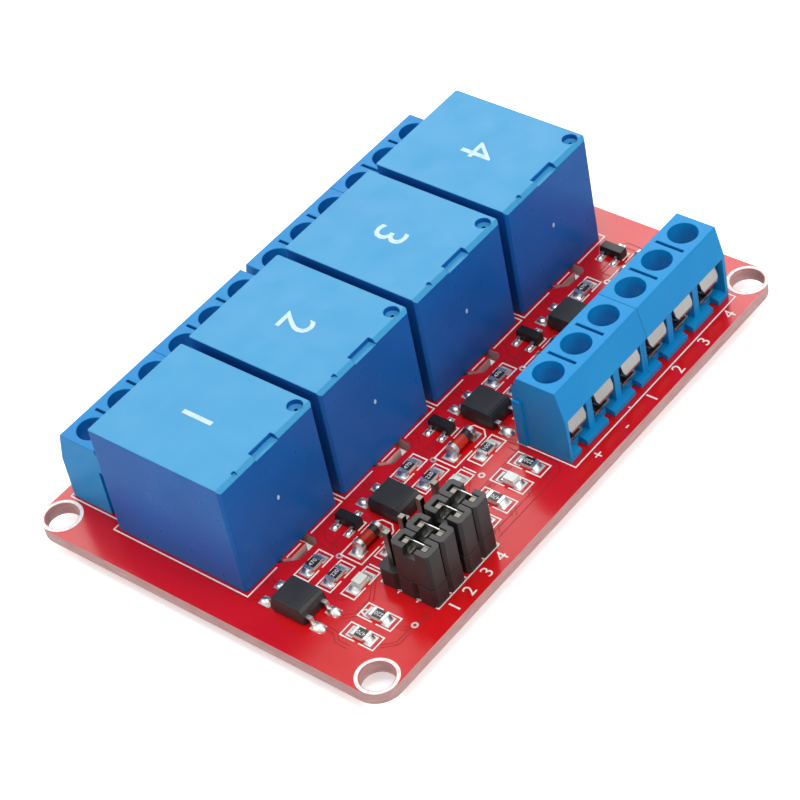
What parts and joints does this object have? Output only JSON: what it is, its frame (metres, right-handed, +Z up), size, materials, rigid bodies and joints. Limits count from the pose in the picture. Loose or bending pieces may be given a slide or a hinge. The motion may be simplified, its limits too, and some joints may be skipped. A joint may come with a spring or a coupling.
{
  "type": "relay module board",
  "caption": "Red relay module board with a row of blue sealed relays, screw terminals along two edges, opto-isolated inputs and mode jumpers.",
  "frame": {"origin": "centre of the board in plan, at the tips of the soldered pins", "axes": "+X along the long side, +Y towards the contact terminals, +Z up"},
  "size_m": [0.073, 0.05, 0.0184],
  "materials": {
    "board_red": "solder mask, satin gloss",
    "relay_blue": "satin",
    "relay_base_blue": "matte",
    "bobbin_ivory": "matte",
    "winding_copper": "enamelled copper wire",
    "iron": "plated iron",
    "contact_brass": "tinned",
    "terminal_cyan": "satin gloss",
    "plated_steel": "bright plated",
    "black_resin": "fine matte",
    "tinned": "tinned",
    "diode_glass": "clear",
    "chip_dark": "matte",
    "led_white": "clear resin on white",
    "black_nylon": "moulded",
    "pin_gold": "gold flash"
  },
  "bodies": {
    "module": {"circuit_board": "board_red", "relay_cover_1": "relay_blue", "relay_cover_2": "relay_blue", "relay_cover_3": "relay_blue", "relay_cover_4": "relay_blue", "relay_bases": "relay_base_blue", "relay_bobbins": "bobbin_ivory", "relay_windings": "winding_copper", "relay_cores": "iron", "relay_yokes": "iron", "relay_pins": "contact_brass", "output_terminal_1": "terminal_cyan", "output_terminal_2": "terminal_cyan", "output_terminal_3": "terminal_cyan", "output_terminal_4": "terminal_cyan", "input_terminal_1": "terminal_cyan", "input_terminal_2": "terminal_cyan", "terminal_frames": "plated_steel", "wire_guards": "plated_steel", "optocouplers": "black_resin", "optocoupler_leads": "tinned", "transistors": "black_resin", "transistor_leads": "tinned", "diodes": "diode_glass", "diode_caps": "tinned", "chip_resistors": "chip_dark", "leds": "led_white", "pin_headers": "black_nylon", "header_pins": "pin_gold"},
    "relay_armature_1": {"relay_armature_1": "iron"},
    "relay_armature_2": {"relay_armature_2": "iron"},
    "relay_armature_3": {"relay_armature_3": "iron"},
    "relay_armature_4": {"relay_armature_4": "iron"},
    "terminal_screw_01": {"terminal_screw_01": "plated_steel"},
    "terminal_screw_02": {"terminal_screw_02": "plated_steel"},
    "terminal_screw_03": {"terminal_screw_03": "plated_steel"},
    "terminal_screw_04": {"terminal_screw_04": "plated_steel"},
    "terminal_screw_05": {"terminal_screw_05": "plated_steel"},
    "terminal_screw_06": {"terminal_screw_06": "plated_steel"},
    "terminal_screw_07": {"terminal_screw_07": "plated_steel"},
    "terminal_screw_08": {"terminal_screw_08": "plated_steel"},
    "terminal_screw_09": {"terminal_screw_09": "plated_steel"},
    "terminal_screw_10": {"terminal_screw_10": "plated_steel"},
    "terminal_screw_11": {"terminal_screw_11": "plated_steel"},
    "terminal_screw_12": {"terminal_screw_12": "plated_steel"},
    "terminal_screw_13": {"terminal_screw_13": "plated_steel"},
    "terminal_screw_14": {"terminal_screw_14": "plated_steel"},
    "terminal_screw_15": {"terminal_screw_15": "plated_steel"},
    "terminal_screw_16": {"terminal_screw_16": "plated_steel"},
    "terminal_screw_17": {"terminal_screw_17": "plated_steel"},
    "terminal_screw_18": {"terminal_screw_18": "plated_steel"},
    "jumper_cap_1": {"jumper_cap_1": "black_nylon", "jumper_clip_1": "tinned"},
    "jumper_cap_2": {"jumper_cap_2": "black_nylon", "jumper_clip_2": "tinned"},
    "jumper_cap_3": {"jumper_cap_3": "black_nylon", "jumper_clip_3": "tinned"},
    "jumper_cap_4": {"jumper_cap_4": "black_nylon", "jumper_clip_4": "tinned"}
  },
  "joints": [
    {"name": "relay_armature_1_swing", "type": "hinge", "parent": "module", "child": "relay_armature_1", "pos_m": [-0.0246, -0.00065, 0.0144], "axis": [1, 0, 0], "range_deg": [-3, 0], "stiffness_Nm_per_rad": 0.002, "springref_deg": 5.73},
    {"name": "relay_armature_2_swing", "type": "hinge", "parent": "module", "child": "relay_armature_2", "pos_m": [-0.0082, -0.00065, 0.0144], "axis": [1, 0, 0], "range_deg": [-3, 0], "stiffness_Nm_per_rad": 0.002, "springref_deg": 5.73},
    {"name": "relay_armature_3_swing", "type": "hinge", "parent": "module", "child": "relay_armature_3", "pos_m": [0.0082, -0.00065, 0.0144], "axis": [1, 0, 0], "range_deg": [-3, 0], "stiffness_Nm_per_rad": 0.002, "springref_deg": 5.73},
    {"name": "relay_armature_4_swing", "type": "hinge", "parent": "module", "child": "relay_armature_4", "pos_m": [0.0246, -0.00065, 0.0144], "axis": [1, 0, 0], "range_deg": [-3, 0], "stiffness_Nm_per_rad": 0.002, "springref_deg": 5.73},
    {"name": "terminal_screw_01_turn", "type": "hinge", "parent": "module", "child": "terminal_screw_01", "pos_m": [-0.02842, 0.0199, 0.009], "axis": [0, 0, 1], "continuous": true},
    {"name": "terminal_screw_02_turn", "type": "hinge", "parent": "module", "child": "terminal_screw_02", "pos_m": [-0.02334, 0.0199, 0.009], "axis": [0, 0, 1], "continuous": true},
    {"name": "terminal_screw_03_turn", "type": "hinge", "parent": "module", "child": "terminal_screw_03", "pos_m": [-0.01826, 0.0199, 0.009], "axis": [0, 0, 1], "continuous": true},
    {"name": "terminal_screw_04_turn", "type": "hinge", "parent": "module", "child": "terminal_screw_04", "pos_m": [-0.01318, 0.0199, 0.009], "axis": [0, 0, 1], "continuous": true},
    {"name": "terminal_screw_05_turn", "type": "hinge", "parent": "module", "child": "terminal_screw_05", "pos_m": [-0.0081, 0.0199, 0.009], "axis": [0, 0, 1], "continuous": true},
    {"name": "terminal_screw_06_turn", "type": "hinge", "parent": "module", "child": "terminal_screw_06", "pos_m": [-0.00302, 0.0199, 0.009], "axis": [0, 0, 1], "continuous": true},
    {"name": "terminal_screw_07_turn", "type": "hinge", "parent": "module", "child": "terminal_screw_07", "pos_m": [0.00302, 0.0199, 0.009], "axis": [0, 0, 1], "continuous": true},
    {"name": "terminal_screw_08_turn", "type": "hinge", "parent": "module", "child": "terminal_screw_08", "pos_m": [0.0081, 0.0199, 0.009], "axis": [0, 0, 1], "continuous": true},
    {"name": "terminal_screw_09_turn", "type": "hinge", "parent": "module", "child": "terminal_screw_09", "pos_m": [0.01318, 0.0199, 0.009], "axis": [0, 0, 1], "continuous": true},
    {"name": "terminal_screw_10_turn", "type": "hinge", "parent": "module", "child": "terminal_screw_10", "pos_m": [0.01826, 0.0199, 0.009], "axis": [0, 0, 1], "continuous": true},
    {"name": "terminal_screw_11_turn", "type": "hinge", "parent": "module", "child": "terminal_screw_11", "pos_m": [0.02334, 0.0199, 0.009], "axis": [0, 0, 1], "continuous": true},
    {"name": "terminal_screw_12_turn", "type": "hinge", "parent": "module", "child": "terminal_screw_12", "pos_m": [0.02842, 0.0199, 0.009], "axis": [0, 0, 1], "continuous": true},
    {"name": "terminal_screw_13_turn", "type": "hinge", "parent": "module", "child": "terminal_screw_13", "pos_m": [0.00287, -0.01865, 0.009], "axis": [0, 0, 1], "continuous": true},
    {"name": "terminal_screw_14_turn", "type": "hinge", "parent": "module", "child": "terminal_screw_14", "pos_m": [0.00795, -0.01865, 0.009], "axis": [0, 0, 1], "continuous": true},
    {"name": "terminal_screw_15_turn", "type": "hinge", "parent": "module", "child": "terminal_screw_15", "pos_m": [0.01303, -0.01865, 0.009], "axis": [0, 0, 1], "continuous": true},
    {"name": "terminal_screw_16_turn", "type": "hinge", "parent": "module", "child": "terminal_screw_16", "pos_m": [0.01811, -0.01865, 0.009], "axis": [0, 0, 1], "continuous": true},
    {"name": "terminal_screw_17_turn", "type": "hinge", "parent": "module", "child": "terminal_screw_17", "pos_m": [0.02319, -0.01865, 0.009], "axis": [0, 0, 1], "continuous": true},
    {"name": "terminal_screw_18_turn", "type": "hinge", "parent": "module", "child": "terminal_screw_18", "pos_m": [0.02827, -0.01865, 0.009], "axis": [0, 0, 1], "continuous": true},
    {"name": "jumper_cap_1_pull", "type": "slide", "parent": "module", "child": "jumper_cap_1", "axis": [0, 0, 1], "range_m": [0, 0.006]},
    {"name": "jumper_cap_2_pull", "type": "slide", "parent": "module", "child": "jumper_cap_2", "axis": [0, 0, 1], "range_m": [0, 0.006]},
    {"name": "jumper_cap_3_pull", "type": "slide", "parent": "module", "child": "jumper_cap_3", "axis": [0, 0, 1], "range_m": [0, 0.006]},
    {"name": "jumper_cap_4_pull", "type": "slide", "parent": "module", "child": "jumper_cap_4", "axis": [0, 0, 1], "range_m": [0, 0.006]}
  ]
}
